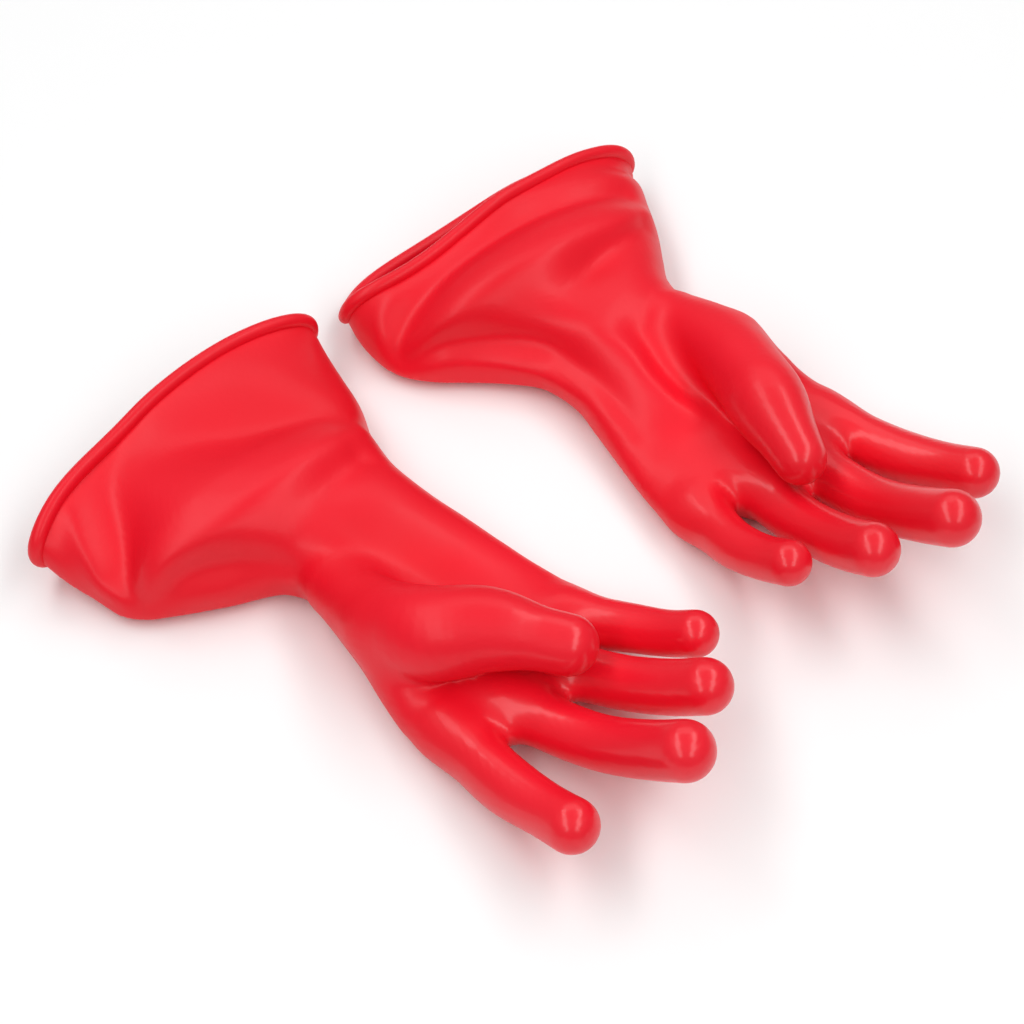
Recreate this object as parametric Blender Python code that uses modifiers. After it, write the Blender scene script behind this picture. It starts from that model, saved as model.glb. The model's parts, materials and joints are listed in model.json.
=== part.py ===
"""A pair of electrical insulating gloves with rolled cuffs, lying palm up.

Each glove is one dipped natural-rubber moulding.  Here it is divided at its flex zones into
a rolled cuff, a gauntlet, the hand with the roots of the five stalls, and a middle and a tip
segment of each stall.  All of them are hollow, so the space for a hand runs from the cuff to
the fingertips.  Two neighbours meet in a V-shaped gap, which closes at the end of their bend.

World frame, in metres: X runs along the gloves towards the fingertips, Y runs from the
right-hand glove to the left-hand glove, and Z runs up from the table at Z = 0.
The tables are in millimetres, in each glove's own frame: x along the glove from the wrist,
y towards the little finger and z up.  In the left-hand glove y is mirrored.
"""

import math

import bmesh
import bpy
import numpy as np
from mathutils import Matrix, Vector

MM = 0.001

# Rubber
WALL = 2.0
BEAD_RADIUS = 4.0
GAP = 0.6

# Cross-sections of the gauntlet and the hand:
# x, thumb-side edge, little-finger-side edge, height of the widest line, height of the top
SECTIONS = {
    "right": (
        (-106, -99, 85, 26, 45),
        (-88, -96, 80, 13, 47),
        (-73, -93, 73, 8, 49),
        (-58, -90, 66, 7, 51),
        (-46, -78, 58, 8, 50),
        (-32, -60, 52, 9, 48),
        (-8, -31, 46, 12, 43),
        (25, -38, 48, 12, 35),
        (60, -49, 50, 12, 27),
        (95, -56, 51, 13, 24),
        (112, -52, 49, 13, 23),
    ),
    "left": (
        (-106, -97, 85, 21, 49),
        (-90, -97, 87, 12, 52),
        (-75, -91, 86, 7, 53),
        (-60, -85, 77, 7, 53),
        (-46, -75, 63, 7, 51),
        (-32, -63, 51, 9, 48),
        (-8, -47, 38, 12, 42),
        (25, -47, 43, 12, 34),
        (60, -53, 53, 12, 27),
        (95, -55, 59, 13, 24),
        (112, -50, 57, 13, 23),
    ),
}
SECTION_ROUNDNESS = 2.3
RIM_ROUNDNESS = 2.1
FLOOR_SINK = 1.0

# The rim of the cuff: x at its thumb-side end, at its little-finger-side end, and in the middle
# of its upper and of its lower lip
RIM = {"right": (-108, -111, -124, -116), "left": (-94, -112, -100, -136)}

# How late the lips turn towards the rim's ends: the power of the share across
RIM_TURN = {"right": 2, "left": 4}
RIM_FADE_END = -62

# Centre lines of the stalls, from inside the hand to the middle of the tip: x, y, z, radius
STALLS = {
    "right": {
        "index": ((84, -41, 14, 12.5), (111, -48, 16, 12), (141, -52, 21, 11.5), (173, -55, 33, 12)),
        "middle": ((92, -18, 14, 12), (128, -16, 19, 11.5), (164, -11, 31, 12.5), (193, -7, 53, 13)),
        "ring": ((92, 10, 14, 12), (127, 17, 19, 11.5), (156, 22, 32, 12.5), (178, 27, 48, 12)),
        "little": ((85, 36, 14, 12), (111, 43, 18, 10.5), (135, 48, 26, 10.5), (154, 52, 38, 10.5)),
        "thumb": (
            (9, -19, 24, 16), (37, -23, 32, 18), (68, -19, 42, 18.5), (95, -6, 47, 16.5), (121, 8, 45, 11.5),
        ),
    },
    "left": {
        "index": ((84, -38, 14, 12.5), (113, -41, 15, 12), (145, -48, 20, 11.5), (176, -54, 32, 12)),
        "middle": ((92, -17, 14, 12), (127, -15, 20, 11.5), (163, -10, 31, 12.5), (195, -10, 53, 13)),
        "ring": ((92, 11, 14, 12), (127, 17, 20, 11.5), (156, 23, 31, 12.5), (180, 25, 47, 12)),
        "little": ((85, 37, 14, 12), (110, 48, 17, 10.5), (134, 52, 25, 10.5), (155, 52, 38, 10.5)),
        "thumb": (
            (9, -29, 24, 16), (39, -27, 32, 19), (70, -15, 42, 18.5), (97, -2, 47, 16.5), (122, 8, 45, 11.6),
        ),
    },
}

# Lengths of the two segments of each stall, measured along it: (middle, tip)
SEGMENTS = {"index": (25, 26), "middle": (28, 29), "ring": (25, 26), "little": (22, 24), "thumb": (23, 26)}

# Bends in degrees (backwards, forwards).  A stall's tip follows its root at a share of its bend.
WRIST_BEND = (-10, 45)
FINGER_BEND = (-15, 60)
THUMB_BEND = (0, 45)
FINGER_TIP_SHARE = 2 / 3
THUMB_TIP_SHARE = 0.5
WRIST_HINGE = Vector((-12, 0, 20))
UP = Vector((0, 0, 1))
THUMB_LIFT = Vector((0, -0.5, 0.87))

# Webs between the stalls: x of the hand's end on the index side and on the little-finger side
WEB_X = 114
LITTLE_WEB_X = 101
WEB_STEP = (16, 32)
WEB_ROUNDING = 3
WEB_HEIGHT = 12

# Where each glove lies on the table: x and y of its wrist in millimetres, turn in degrees.
# The origin is under the middle of the pair.
PLACES = {"right": (-37.8, -88.0, 2.8), "left": (-33.8, 90.0, -3.0)}

# Mesh resolution
GAUNTLET_STATIONS = (-95, -85, -75, -66, -57, -44, -30)
HAND_STATIONS = (8, 25, 45, 65, 85)
STALL_ROOT_RINGS = 4
HOLLOW_OVERRUN = 14
STALL_OVERRUN = 8
RING_MARGIN = 1
SLEEVE_SIDES = 24
STALL_SIDES = 12
BEAD_SIDES_RESOLUTION = 1
LINE_SAMPLES = 120

RUBBER_RED = (0.78, 0.012, 0.03, 1.0)
RUBBER_ROUGHNESS = 0.34


def clear_scene():
    for obj in list(bpy.data.objects):
        bpy.data.objects.remove(obj, do_unlink=True)


def new_collection(name):
    collection = bpy.data.collections.new(name)
    bpy.context.scene.collection.children.link(collection)
    return collection


def rubber_material(name):
    material = bpy.data.materials.new(name)
    material.use_nodes = True
    shader = material.node_tree.nodes["Principled BSDF"]
    shader.inputs["Base Color"].default_value = RUBBER_RED
    shader.inputs["Roughness"].default_value = RUBBER_ROUGHNESS
    shader.inputs["Metallic"].default_value = 0.0
    return material


def smooth_table(table, x):
    """Rows of a table at x, its first column, joined by Catmull-Rom curves."""
    rows = np.array(table, float)
    slopes = np.gradient(rows, rows[:, 0], axis=0)
    x = min(max(x, rows[0, 0]), rows[-1, 0])
    i = min(int(np.searchsorted(rows[:, 0], x, side="right")) - 1, len(rows) - 2)
    span = rows[i + 1, 0] - rows[i, 0]
    t = (x - rows[i, 0]) / span
    return (
        (2 * t**3 - 3 * t**2 + 1) * rows[i]
        + (t**3 - 2 * t**2 + t) * span * slopes[i]
        + (3 * t**2 - 2 * t**3) * rows[i + 1]
        + (t**3 - t**2) * span * slopes[i + 1]
    )


def smooth_step(value, start, end):
    t = min(max((value - start) / (end - start), 0.0), 1.0)
    return t * t * (3 - 2 * t)


def v_gap(height, bend):
    """Half the gap at a height above the hinge, for a bend of (backwards, forwards) degrees."""
    angle = bend[1] if height > 0 else bend[0]
    return GAP + abs(height) * math.tan(math.radians(abs(angle)) / 2)


class Glove:
    """One glove's shape, in its own frame, and its place on the table."""

    def __init__(self, side):
        self.side = side
        self.mirror = 1 if side == "right" else -1
        x, y, turn = PLACES[side]
        self.matrix = Matrix.Translation((x * MM, y * MM, 0)) @ Matrix.Rotation(math.radians(turn), 4, "Z")

    def world(self, point):
        return self.matrix @ Vector((point.x * MM, point.y * MM * self.mirror, point.z * MM))

    def world_axis(self, direction, lift):
        """The hinge axis: a positive turn about it moves the direction towards the lift."""
        mirror = Vector((1, self.mirror, 1))
        turn = self.matrix.to_3x3()
        return (turn @ (direction * mirror)).cross(turn @ (lift * mirror)).normalized()

    def section(self, x, inset=0.0):
        """A ring of points around the sleeve at x, flat where it lies on the table."""
        _, thumb_edge, little_edge, widest, top = smooth_table(SECTIONS[self.side], x)
        middle = (thumb_edge + little_edge) / 2
        half = (little_edge - thumb_edge) / 2 - inset
        ring = []
        for i in range(SLEEVE_SIDES):
            angle = 2 * math.pi * i / SLEEVE_SIDES
            across, height = math.cos(angle), math.sin(angle)
            rise = top - inset - widest if height > 0 else widest + FLOOR_SINK - inset
            y = middle + half * math.copysign(abs(across) ** (2 / SECTION_ROUNDNESS), across)
            z = widest + rise * math.copysign(abs(height) ** (2 / SECTION_ROUNDNESS), height)
            ring.append(Vector((x, y, max(z, inset))))
        return ring

    def rim(self, offset=0.0):
        """The centre line of the rolled cuff, or a line at an even offset from it on the wrist's side."""
        _, thumb_edge, little_edge, widest, top = SECTIONS[self.side][0]
        thumb_x, little_x, upper_x, lower_x = RIM[self.side]
        middle, half = (thumb_edge + little_edge) / 2, (little_edge - thumb_edge) / 2
        ring = []
        for i in range(SLEEVE_SIDES):
            angle = 2 * math.pi * i / SLEEVE_SIDES
            across, height = math.cos(angle), math.sin(angle)
            rise = top - widest if height > 0 else widest - BEAD_RADIUS
            y = middle + half * math.copysign(abs(across) ** (2 / RIM_ROUNDNESS), across)
            z = widest + rise * math.copysign(abs(height) ** (2 / RIM_ROUNDNESS), height)
            end_x = little_x if across > 0 else thumb_x
            lip_x = upper_x if height > 0 else lower_x
            rim_x = lip_x + (end_x - lip_x) * abs(across) ** RIM_TURN[self.side]
            ring.append(Vector((rim_x, y, z)))
        moved = []
        for point, before, after in zip(ring, ring[-1:] + ring[:-1], ring[1:] + ring[:1]):
            slant = after - before
            moved.append(point + Vector((offset * slant.length / slant.yz.length, 0, 0)))
        return moved


class Stall:
    """A finger or thumb stall: a centre line that is measured from its tip's end."""

    def __init__(self, glove, name):
        self.name = name
        points = np.array(STALLS[glove.side][name], float)
        steps = np.linspace(0, len(points) - 1, LINE_SAMPLES)
        table = np.column_stack([np.arange(len(points)), points])
        self.line = np.array([smooth_table(table, step)[1:] for step in steps])
        lengths = np.linalg.norm(np.diff(self.line[:, :3], axis=0), axis=1)
        self.along = np.concatenate([[0], np.cumsum(lengths)])
        self.tip_centre = self.along[-1]
        end = self.tip_centre + self.line[-1, 3]
        middle_length, tip_length = SEGMENTS[name]
        self.tip_hinge = end - tip_length
        self.root_hinge = self.tip_hinge - middle_length
        self.lift = THUMB_LIFT if name == "thumb" else UP
        self.root_bend = THUMB_BEND if name == "thumb" else FINGER_BEND
        share = THUMB_TIP_SHARE if name == "thumb" else FINGER_TIP_SHARE
        self.tip_bend = tuple(share * angle for angle in self.root_bend)

    def at(self, distance):
        """Centre and radius at a distance along the stall."""
        values = [np.interp(distance, self.along, self.line[:, k]) for k in range(4)]
        return Vector(values[:3]), values[3]

    def direction(self, distance):
        step = 2.0
        low, high = max(distance - step, 0), min(distance + step, self.tip_centre)
        return (self.at(high)[0] - self.at(low)[0]).normalized()

    def ring(self, distance, gap_bend=None, gap_side=1, inset=0.0, size=None):
        """A ring across the stall, pushed back in a V from a hinge if it ends at one."""
        centre, radius = self.at(distance)
        radius = (radius if size is None else size) - inset
        direction = self.direction(distance)
        across = direction.cross(self.lift).normalized()
        raised = across.cross(direction)
        ring = []
        for i in range(STALL_SIDES):
            angle = 2 * math.pi * i / STALL_SIDES
            height = radius * math.sin(angle)
            push = gap_side * v_gap(height, gap_bend) if gap_bend else 0.0
            ring.append(centre + across * (radius * math.cos(angle)) + raised * height + direction * push)
        return ring

    def dome(self):
        """Rings over the rounded tip, and its end point."""
        centre, radius = self.at(self.tip_centre)
        direction = self.direction(self.tip_centre)
        rings = []
        for degrees in (0, 30, 60):
            angle = math.radians(degrees)
            ring = self.ring(self.tip_centre, size=radius * math.cos(angle))
            rings.append([point + direction * (radius * math.sin(angle)) for point in ring])
        return rings, centre + direction * radius


def loft(rings, start_point=None, end_point=None):
    """A skin over rings of equal count, closed with a fan to a point at either end."""
    bm = bmesh.new()
    verts = [[bm.verts.new(point) for point in ring] for ring in rings]
    count = len(verts[0])
    for ring, following in zip(verts, verts[1:]):
        for i in range(count):
            j = (i + 1) % count
            bm.faces.new((ring[i], ring[j], following[j], following[i]))
    for ring, point in ((verts[0][::-1], start_point), (verts[-1], end_point)):
        if point is not None:
            tip = bm.verts.new(point)
            for i in range(count):
                bm.faces.new((ring[i], ring[(i + 1) % count], tip))
    return bm


def face_outwards(bm):
    """Turn the faces of an evenly wound skin outwards."""
    bm.normal_update()
    middle = sum((vert.co for vert in bm.verts), Vector()) / len(bm.verts)
    outward = sum(
        face.calc_area() * face.normal.dot(face.calc_center_median() - middle) for face in bm.faces
    )
    if outward < 0:
        bmesh.ops.reverse_faces(bm, faces=bm.faces)


class Builder:
    """Puts the objects of one glove into the scene."""

    def __init__(self, side, parts, guides):
        self.glove = Glove(side)
        self.side = side
        self.parts = parts
        self.guides = guides
        self.frames = {}
        self.root = self.empty("glove", self.glove.matrix, None)

    def empty(self, name, matrix, parent):
        obj = bpy.data.objects.new(f"{self.side}_{name}", None)
        obj.empty_display_size = 0.02
        self.guides.objects.link(obj)
        self.attach(obj, matrix, parent)
        return obj

    def attach(self, obj, matrix, parent):
        """Give obj a place in the world while it hangs under its parent."""
        self.frames[obj.name] = matrix
        obj.parent = parent
        obj.matrix_basis = self.frames[parent.name].inverted() @ matrix if parent else matrix

    def hinge(self, name, point, direction, lift, parent):
        """An empty on a joint, with its Z along the joint's axis."""
        axis = self.glove.world_axis(direction, lift)
        turn = axis.to_track_quat("Z", "X").to_matrix().to_4x4()
        matrix = Matrix.Translation(self.glove.world(point)) @ turn
        return self.empty(name, matrix, parent)

    def solid(self, name, bm, parent, collection=None):
        """An object whose origin is its parent's, from a skin in the glove's own frame."""
        matrix = self.frames[parent.name]
        to_local = matrix.inverted()
        for vert in bm.verts:
            vert.co = to_local @ self.glove.world(vert.co)
        face_outwards(bm)
        mesh = bpy.data.meshes.new(f"{self.side}_{name}")
        bm.to_mesh(mesh)
        bm.free()
        obj = bpy.data.objects.new(mesh.name, mesh)
        (collection or self.parts).objects.link(obj)
        self.attach(obj, matrix, parent)
        if collection is None:
            self.finish(obj)
        return obj

    def finish(self, obj):
        obj.data.materials.append(rubber_material(obj.name))
        obj.data.shade_smooth()
        obj.data.set_sharp_from_angle(angle=math.radians(40))

    def shell(self, name, bm, parent):
        """A hollow piece: an open skin with the rubber's thickness inside it."""
        obj = self.solid(name, bm, parent)
        wall = obj.modifiers.new("wall", "SOLIDIFY")
        wall.thickness = WALL * MM
        wall.offset = -1.0
        wall.use_even_offset = True
        return obj

    def cut(self, obj, cutter, operation):
        cutter.hide_render = True
        cutter.display_type = "WIRE"
        modifier = obj.modifiers.new(cutter.name, "BOOLEAN")
        modifier.operation = operation
        modifier.solver = "EXACT"
        modifier.object = cutter

    def cuff_roll(self, parent):
        """The rolled bead around the rim of the cuff."""
        name = f"{self.side}_cuff_roll"
        matrix = self.frames[parent.name]
        to_local = matrix.inverted()
        points = self.glove.rim()
        curve = bpy.data.curves.new(name, "CURVE")
        curve.dimensions = "3D"
        curve.bevel_depth = BEAD_RADIUS * MM
        curve.bevel_resolution = BEAD_SIDES_RESOLUTION
        spline = curve.splines.new("POLY")
        spline.points.add(len(points) - 1)
        for spline_point, point in zip(spline.points, points):
            spline_point.co = (*(to_local @ self.glove.world(point)), 1)
        spline.use_cyclic_u = True
        obj = bpy.data.objects.new(name, curve)
        self.parts.objects.link(obj)
        self.attach(obj, matrix, parent)
        curve.materials.append(rubber_material(name))

    def gauntlet(self, parent):
        """The flared sleeve between the rolled cuff and the wrist."""
        glove = self.glove
        rim_x = SECTIONS[self.side][0][0]
        rim_shape = [point.x - rim_x for point in glove.rim()]
        rings = [glove.rim(offset=BEAD_RADIUS + GAP)]
        for x in GAUNTLET_STATIONS:
            fade = smooth_step(x, RIM_FADE_END, rim_x)
            section = glove.section(x)
            rings.append([point + Vector((fade * dx, 0, 0)) for point, dx in zip(section, rim_shape)])
        end = glove.section(WRIST_HINGE.x - GAP)
        for point in end:
            point.x = WRIST_HINGE.x - v_gap(point.z - WRIST_HINGE.z, WRIST_BEND)
        rings.append(end)
        self.shell("gauntlet", loft(rings), parent)

    def hand_skin(self, inset):
        """The hand without its stalls, as a closed form; inset makes its hollow."""
        glove = self.glove
        if inset:
            opening = glove.section(WRIST_HINGE.x, inset)
            overrun = WRIST_HINGE.x - HOLLOW_OVERRUN
            rings = [[Vector((overrun, point.y, point.z)) for point in opening], opening]
            start_point = Vector((overrun, WRIST_HINGE.y, WRIST_HINGE.z))
        else:
            start = glove.section(WRIST_HINGE.x + GAP)
            for point in start:
                point.x = WRIST_HINGE.x + v_gap(point.z - WRIST_HINGE.z, WRIST_BEND)
            rings = [start]
            start_point = Vector((WRIST_HINGE.x + GAP, WRIST_HINGE.y, WRIST_HINGE.z))
        rings += [glove.section(x, inset) for x in HAND_STATIONS]
        for back, shrink in ((WEB_ROUNDING, 0.0), (0.0, WEB_ROUNDING)):
            web = glove.section(WEB_X, inset + shrink)
            for point in web:
                step = smooth_step(point.y, *WEB_STEP)
                point.x = WEB_X - step * (WEB_X - LITTLE_WEB_X) - back - inset
            rings.append(web)
        end_point = Vector((WEB_X - inset - WEB_ROUNDING, WRIST_HINGE.y, WEB_HEIGHT))
        return loft(rings, start_point, end_point)

    def stall_root(self, stall, inset):
        """The root of a stall, as a closed form that starts inside the hand."""
        hinge = stall.root_hinge
        last_full = hinge - v_gap(stall.at(hinge)[1], stall.root_bend) - RING_MARGIN
        distances = np.linspace(inset, last_full, STALL_ROOT_RINGS)
        rings = [stall.ring(distance, inset=inset) for distance in distances]
        start_point = stall.at(inset)[0]
        if inset:
            overrun = stall.direction(hinge) * STALL_OVERRUN
            rings.append([point + overrun for point in stall.ring(hinge, inset=inset)])
            end_point = stall.at(hinge)[0] + overrun
        else:
            rings.append(stall.ring(hinge, stall.root_bend, -1))
            end_point = stall.at(hinge)[0] - stall.direction(hinge) * GAP
        return loft(rings, start_point, end_point)

    def palm(self, stalls):
        """The hand with the roots of its stalls, hollow and open at the wrist and at each stall."""
        obj = self.solid("palm", self.hand_skin(0.0), self.root)
        for inset, operation, word in ((0.0, "UNION", "outside"), (WALL, "DIFFERENCE", "inside")):
            if inset:
                hollow = self.solid("hand_inside", self.hand_skin(inset), self.root, self.guides)
                self.cut(obj, hollow, operation)
            for stall in stalls:
                name = f"{stall.name}_root_{word}"
                cutter = self.solid(name, self.stall_root(stall, inset), self.root, self.guides)
                self.cut(obj, cutter, operation)

    def stall_segments(self, stall):
        """The middle and the tip segment of a stall, each hanging on its hinge."""
        root, tip = stall.root_hinge, stall.tip_hinge
        root_frame = self.hinge(
            f"{stall.name}_root_hinge", stall.at(root)[0], stall.direction(root), stall.lift, self.root
        )
        tip_frame = self.hinge(
            f"{stall.name}_tip_hinge", stall.at(tip)[0], stall.direction(tip), stall.lift, root_frame
        )
        start = root + v_gap(stall.at(root)[1], stall.root_bend) + RING_MARGIN
        end = tip - v_gap(stall.at(tip)[1], stall.tip_bend) - RING_MARGIN
        middle = [
            stall.ring(root, stall.root_bend, 1),
            stall.ring(start),
            stall.ring(end),
            stall.ring(tip, stall.tip_bend, -1),
        ]
        self.shell(f"{stall.name}_middle", loft(middle), root_frame)
        dome, end_point = stall.dome()
        start = tip + v_gap(stall.at(tip)[1], stall.tip_bend) + RING_MARGIN
        tip_rings = [stall.ring(tip, stall.tip_bend, 1), stall.ring(start)] + dome
        self.shell(f"{stall.name}_tip", loft(tip_rings, end_point=end_point), tip_frame)

    def build(self):
        stalls = [Stall(self.glove, name) for name in STALLS[self.side]]
        wrist = self.hinge("wrist_hinge", WRIST_HINGE, Vector((-1, 0, 0)), UP, self.root)
        self.cuff_roll(wrist)
        self.gauntlet(wrist)
        self.palm(stalls)
        for stall in stalls:
            self.stall_segments(stall)


def main():
    clear_scene()
    parts = new_collection("electrical_insulating_gloves")
    guides = new_collection("guides_and_cutters")
    for side in ("right", "left"):
        Builder(side, parts, guides).build()


main()
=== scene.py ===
"""Looks for a pair of electrical insulating gloves.

Each glove is one smooth rubber skin.  Its shape is measured from the CAD nodes: cross-sections of
the gauntlet and the hand, the loop of the rolled cuff, and the hinge points and tips of the stalls.
The skin is the zero surface of a distance field in which the sleeve and the five stalls melt into
each other.  Soft folds are pressed into it, it gets the rubber's thickness, and it is cut into
pieces at the joints.

Lengths are in millimetres in each glove's own frame: x from the wrist towards the fingertips,
y towards the little finger, z up.  The left-hand glove is mirrored in y.
"""

import json
import math

import bmesh
import bpy
import numpy as np
from mathutils import Matrix, Vector


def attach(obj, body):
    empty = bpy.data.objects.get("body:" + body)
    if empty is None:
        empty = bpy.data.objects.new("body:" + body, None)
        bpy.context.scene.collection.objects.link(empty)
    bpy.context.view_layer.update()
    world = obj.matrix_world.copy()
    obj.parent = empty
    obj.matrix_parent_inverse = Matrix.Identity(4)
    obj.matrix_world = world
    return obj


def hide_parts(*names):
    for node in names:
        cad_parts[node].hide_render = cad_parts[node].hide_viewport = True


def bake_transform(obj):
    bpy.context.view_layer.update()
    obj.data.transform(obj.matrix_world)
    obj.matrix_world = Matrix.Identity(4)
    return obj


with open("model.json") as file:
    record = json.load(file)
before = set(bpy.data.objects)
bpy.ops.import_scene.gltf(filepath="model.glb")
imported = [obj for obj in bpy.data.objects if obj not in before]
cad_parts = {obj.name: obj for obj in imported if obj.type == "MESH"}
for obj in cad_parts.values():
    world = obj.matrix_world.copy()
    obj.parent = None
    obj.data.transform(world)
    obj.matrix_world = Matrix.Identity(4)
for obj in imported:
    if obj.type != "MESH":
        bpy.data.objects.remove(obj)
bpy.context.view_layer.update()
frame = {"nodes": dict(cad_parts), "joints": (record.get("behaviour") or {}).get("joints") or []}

MM = 0.001
JOINTS = {joint["name"]: joint for joint in frame["joints"]}
FINGERS = ("index", "middle", "ring", "little")

# Rubber
WALL = 2.0
BEAD_RADIUS = 4.0
BEAD_SQUASH = 0.94
SECTION_POWER = 2.3
FLOOR_SINK = 1.0
FLAT_BOTTOM = 0.3
BOTTOM_SOFTNESS = 1.5

# Where the CAD nodes are sliced: x from the wrist
WRIST_X = -12.0
EDGE_SLICES = (-90, -78, -58, -44, -30, -14, -10, 8, 25, 45, 65, 84)
TOP_SLICES = (-90, -78, -58, -44, -30, 8, 25, 45, 65, 84)
RIM_FADE_END = -62.0
RIM_OVERRUN = 16.0
RIM_TURN = {"right": 2, "left": 4}

# The hand's far end: how far the rubber reaches between the stalls, as (share across, x)
WEBS = ((0.0, 112), (0.25, 117), (0.48, 123), (0.62, 118), (0.74, 103), (1.0, 105))
WEB_SOFTNESS = 15.0
KNUCKLE_X = 95.0
KNUCKLE_Z = 12.5
KNUCKLE_RADIUS = 12.5
ROOT_SWELL = {"index": 1.4, "little": 0.8, "thumb": 1.3}
KNUCKLES = {"index": 0.125, "middle": 0.35, "ring": 0.60, "little": 0.865}
FINGER_MELT = 9.0

# The ball of the thumb, up to its hinge: x, y, z, radius
THUMB_ROOT = {
    "right": ((9, -22, 21, 15), (37, -27, 29, 17.5), (69, -24, 41, 21)),
    "left": ((9, -29, 24, 16), (39, -27, 32, 19), (70, -15, 42, 18.5)),
}
THUMB_END = {"right": 0.97, "left": 0.87}
THUMB_MELT = (7.0, 2.4)
THUMB_MELT_SPAN = (66, 86)

# The rubber stretched between the ball of the thumb and the index finger: x, y, z, radius
THUMB_WEB = {
    "right": ((44, -32, 30, 15), (61, -37, 21, 13), (80, -43, 11, 11), (93, -44, 11, 10)),
    "left": ((44, -33, 31, 15), (64, -38, 23, 12), (80, -41, 13, 11), (93, -42, 12, 10)),
}
THUMB_WEB_MELT = 8.0

# Soft folds pressed into the skin, as lines of (x, y, z, lift, half width); a hollow has a negative lift
FOLDS = {
    "right": (
        ((-56, -86, 12, -3, 5), (-62, -84, 19, -7, 8), (-71, -76, 26, -10, 11), (-79, -68, 30, -10, 13),
         (-90, -58, 34, -8, 14), (-98, -46, 37, -6, 14), (-103, -32, 40, -4, 14)),
        ((-52, -85, 8, 1, 5), (-65, -88, 17, 3, 5), (-74, -89, 19, 3, 6), (-81, -86, 25, 3, 6),
         (-87, -84, 29, 3, 6), (-95, -78, 35, 2, 7)),
        ((-51, -83, 18, 2, 6), (-51, -80, 25, 3, 7), (-49, -71, 35, 4, 9), (-46, -60, 41, 4, 10),
         (-41, -44, 45, 4, 12), (-37, -14, 49, 4, 13), (-35, 9, 48, 4, 12), (-35, 30, 43, 4, 10),
         (-39, 44, 34, 3, 8)),
        ((-88, -35, 44, -5, 15), (-84, -17, 46, -8, 16), (-75, 3, 47, -10, 17), (-67, 19, 46, -9, 15),
         (-57, 36, 42, -5, 12)),
        ((-26, 29, 40, -6, 11), (-24, 14, 44, -6, 12), (-22, -2, 46, -3, 12)),
        ((-50, -80, 16, -3, 5), (-46, -66, 26, -6, 7), (-37, -53, 28, -7, 8), (-27, -41, 27, -6, 8),
         (-13, -30, 24, -3, 7)),
        ((-50, -82, 10, 1, 5), (-40, -69, 17, 2, 6), (-30, -55, 19, 3, 7), (-18, -39, 21, 3, 7),
         (-3, -27, 23, 3, 7), (15, -21, 30, 2, 8)),
        ((0, -4, 40, -2, 11), (14, -2, 38, -4, 13), (30, 3, 34, -6, 14), (46, 7, 32, -6, 15),
         (62, 8, 28, -4, 15)),
        ((-107, -96, 18, 3, 14), (-98, -95, 18, 1, 14)),
    ),
    "left": (
        ((-73, 85, 9, 1, 5), (-79, 85, 16, 2, 5), (-84, 82, 23, 3, 6), (-90, 77, 29, 3, 6), (-94, 70, 36, 2, 7)),
        ((-74, 83, 14, -3, 5), (-77, 79, 22, -6, 8), (-81, 71, 30, -8, 11), (-84, 59, 38, -8, 13),
         (-86, 44, 43, -8, 13), (-86, 21, 47, -8, 13), (-84, -3, 49, -8, 13), (-80, -23, 48, -8, 13),
         (-73, -45, 45, -7, 12), (-66, -66, 37, -5, 10)),
        ((-70, 83, 14, 1, 6), (-66, 75, 27, 3, 7), (-61, 62, 38, 4, 9), (-57, 45, 45, 4, 11),
         (-53, 19, 50, 4, 12), (-49, -4, 51, 4, 12), (-46, -28, 49, 4, 10), (-46, -50, 43, 4, 8),
         (-50, -68, 33, 3, 6)),
        ((-44, -57, 36, -4, 8), (-39, -35, 44, -7, 11), (-36, -16, 47, -8, 12), (-32, 3, 46, -4, 12)),
        ((-68, 81, 15, -3, 5), (-60, 68, 25, -6, 8), (-43, 50, 28, -8, 10), (-22, 35, 30, -8, 10),
         (1, 30, 29, -5, 9), (22, 31, 27, -4, 8), (48, 37, 22, -2, 8)),
        ((-67, 82, 10, 1, 5), (-53, 68, 18, 2, 6), (-38, 54, 20, 3, 7), (-21, 43, 19, 3, 7), (0, 36, 19, 3, 7),
         (22, 38, 22, 2, 8), (42, 40, 22, 1, 8)),
        ((-2, 15, 38, 2, 10), (14, 10, 36, 3, 9), (29, 13, 33, 3, 8), (45, 14, 29, 3, 8), (59, 12, 27, 2, 7),
         (67, 8, 26, 1, 7)),
        ((10, -3, 40, -4, 10), (28, 1, 36, -5, 9), (45, 3, 32, -4, 8)),
        ((-106, -92, 12, 3, 16), (-94, -90, 12, 0, 18), (-80, -88, 12, -3, 22), (-66, -84, 12, -2, 22)),
        ((-106, 74, 32, -2, 10), (-106, 58, 40, -5, 12), (-106, 40, 44, -6, 13), (-106, 18, 46, -4, 12),
         (-106, -5, 47, 0, 12), (-106, -40, 45, -3, 13), (-106, -70, 37, -2, 12)),
    ),
}
FOLD_STEP = 4.0
FOLD_POWER = 1.7
FOLD_REACH = 2.4
FOLD_HEIGHTS = (1.0, 9.0)
FOLD_DEPTH = 16.0
FOLD_SOFTENING = 2

# Bending zones: length as a share of bend angle times radius, and where the thumb's zone lies
ZONE_SHARE = 1.6
THUMB_ZONE = (-5.0, 16.0)
WRIST_ZONE = (15.0, -17.0)

# Where the rubber turns glossier, and the attribute that says so
GLOSS_SPAN = (70, 130)
GLOSS = "tip_gloss"

# Resolution
CELL = 1.5
STALL_STEP = 4.0
SMOOTHING_PASSES = 3
PINCH_PASSES = 6
PINCH_FILL = 0.02
PINCH_WIDTH = 0.15
BEAD_STEPS = 192
BEAD_SIDES = 24
BEAD_SMOOTHING = 6


def smooth_step(values, start, end):
    t = np.clip((np.asarray(values, float) - start) / (end - start), 0, 1)
    return t * t * (3 - 2 * t)


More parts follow.
